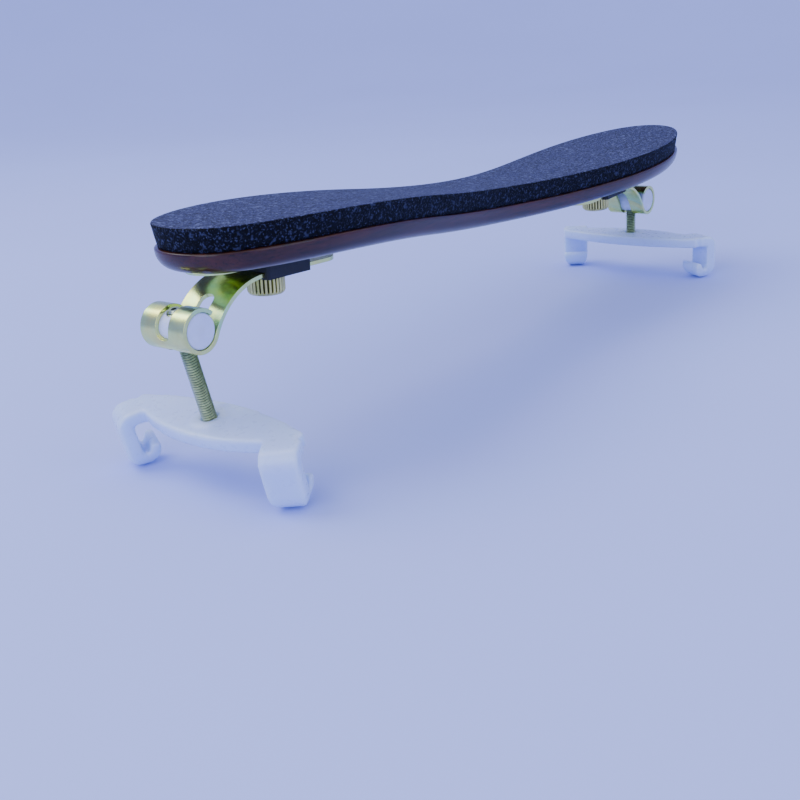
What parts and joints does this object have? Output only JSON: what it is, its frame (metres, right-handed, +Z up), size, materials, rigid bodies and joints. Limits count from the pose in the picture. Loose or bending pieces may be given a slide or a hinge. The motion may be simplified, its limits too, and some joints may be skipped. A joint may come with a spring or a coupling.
{
  "type": "violin shoulder rest",
  "caption": "Bent padded wooden violin shoulder rest on sliding arms with folding, height-adjustable clawed feet.",
  "frame": {"origin": "centre of the bounding box, on the plane that the claws' lowest points touch", "axes": "+X along the plate from the chest end to the shoulder end, +Y across it, +Z up from the feet to the pad"},
  "size_m": [0.2304, 0.0596, 0.0578],
  "materials": {
    "maple_lacquer": "clear gloss lacquer over red-brown stain",
    "foam": "closed-cell foam, fine sparkle grain",
    "zinc_strip": "pale yellow zinc plating",
    "black_plastic": "moulded, matte",
    "brass_knob": "knurled, satin",
    "screw_steel": "zinc-plated thread",
    "white_nylon": "turned, smooth",
    "clear_white_plastic": "moulded, slightly translucent"
  },
  "bodies": {
    "plate": {"wood_plate": "maple_lacquer", "foam_pad": "foam", "chest_base_plate": "zinc_strip", "chest_slide_block": "black_plastic", "chest_wood_screws": "screw_steel", "chest_clamp_nut": "brass_knob", "shoulder_base_plate": "zinc_strip", "shoulder_slide_block": "black_plastic", "shoulder_wood_screws": "screw_steel", "shoulder_clamp_nut": "brass_knob"},
    "chest_arm": {"chest_arm": "zinc_strip"},
    "chest_insert": {"chest_barrel_insert": "white_nylon"},
    "chest_post": {"chest_post": "screw_steel"},
    "chest_foot": {"chest_foot": "clear_white_plastic"},
    "chest_washer": {"chest_thumb_washer": "zinc_strip"},
    "chest_thumb": {"chest_thumb_screw": "brass_knob"},
    "shoulder_arm": {"shoulder_arm": "zinc_strip"},
    "shoulder_insert": {"shoulder_barrel_insert": "white_nylon"},
    "shoulder_post": {"shoulder_post": "screw_steel"},
    "shoulder_foot": {"shoulder_foot": "clear_white_plastic"},
    "shoulder_washer": {"shoulder_thumb_washer": "zinc_strip"},
    "shoulder_thumb": {"shoulder_thumb_screw": "brass_knob"}
  },
  "joints": [
    {"name": "chest_arm_slide", "type": "slide", "parent": "plate", "child": "chest_arm", "axis": [-0.9985, 0, 0.0541], "range_m": [0, 0.01]},
    {"name": "chest_fold", "type": "hinge", "parent": "chest_arm", "child": "chest_insert", "pos_m": [-0.11008, 0, 0.03692], "axis": [0, -1, 0], "range_deg": [-8, 50]},
    {"name": "chest_height", "type": "slide", "parent": "chest_insert", "child": "chest_post", "axis": [-0.1994, 0, 0.9799], "range_m": [-0.003, 0.003]},
    {"name": "chest_foot_turn", "type": "hinge", "parent": "chest_post", "child": "chest_foot", "pos_m": [-0.10499, 0, 0.01193], "axis": [-0.1994, 0, 0.9799], "range_deg": [-1800, 1800]},
    {"name": "chest_washer_travel", "type": "slide", "parent": "plate", "child": "chest_washer", "axis": [0.0541, 0, 0.9985], "range_m": [-0.0014, 0]},
    {"name": "chest_thumb_turn", "type": "hinge", "parent": "chest_washer", "child": "chest_thumb", "pos_m": [-0.0836, 0, 0.0469], "axis": [0.0541, 0, 0.9985], "range_deg": [-720, 0]},
    {"name": "shoulder_arm_slide", "type": "slide", "parent": "plate", "child": "shoulder_arm", "axis": [0.9994, 0, 0.034], "range_m": [0, 0.01]},
    {"name": "shoulder_fold", "type": "hinge", "parent": "shoulder_arm", "child": "shoulder_insert", "pos_m": [0.09717, 0, 0.02624], "axis": [0, 1, 0], "range_deg": [-8, 50]},
    {"name": "shoulder_height", "type": "slide", "parent": "shoulder_insert", "child": "shoulder_post", "axis": [0, 0, 1], "range_m": [-0.003, 0.003]},
    {"name": "shoulder_foot_turn", "type": "hinge", "parent": "shoulder_post", "child": "shoulder_foot", "pos_m": [0.09717, 0, 0.011], "axis": [0, 0, 1], "range_deg": [-1800, 1800]},
    {"name": "shoulder_washer_travel", "type": "slide", "parent": "plate", "child": "shoulder_washer", "axis": [-0.034, 0, 0.9994], "range_m": [-0.0014, 0]},
    {"name": "shoulder_thumb_turn", "type": "hinge", "parent": "shoulder_washer", "child": "shoulder_thumb", "pos_m": [0.0709, 0, 0.03675], "axis": [-0.034, 0, 0.9994], "range_deg": [-720, 0]}
  ],
  "couplings": [
    {"joint": "chest_height", "follows": "chest_foot_turn", "m_per_rad": 0.00009549},
    {"joint": "chest_thumb_turn", "follows": "chest_washer_travel", "rad_per_m": 8976},
    {"joint": "shoulder_height", "follows": "shoulder_foot_turn", "m_per_rad": 0.00009549},
    {"joint": "shoulder_thumb_turn", "follows": "shoulder_washer_travel", "rad_per_m": 8976}
  ]
}
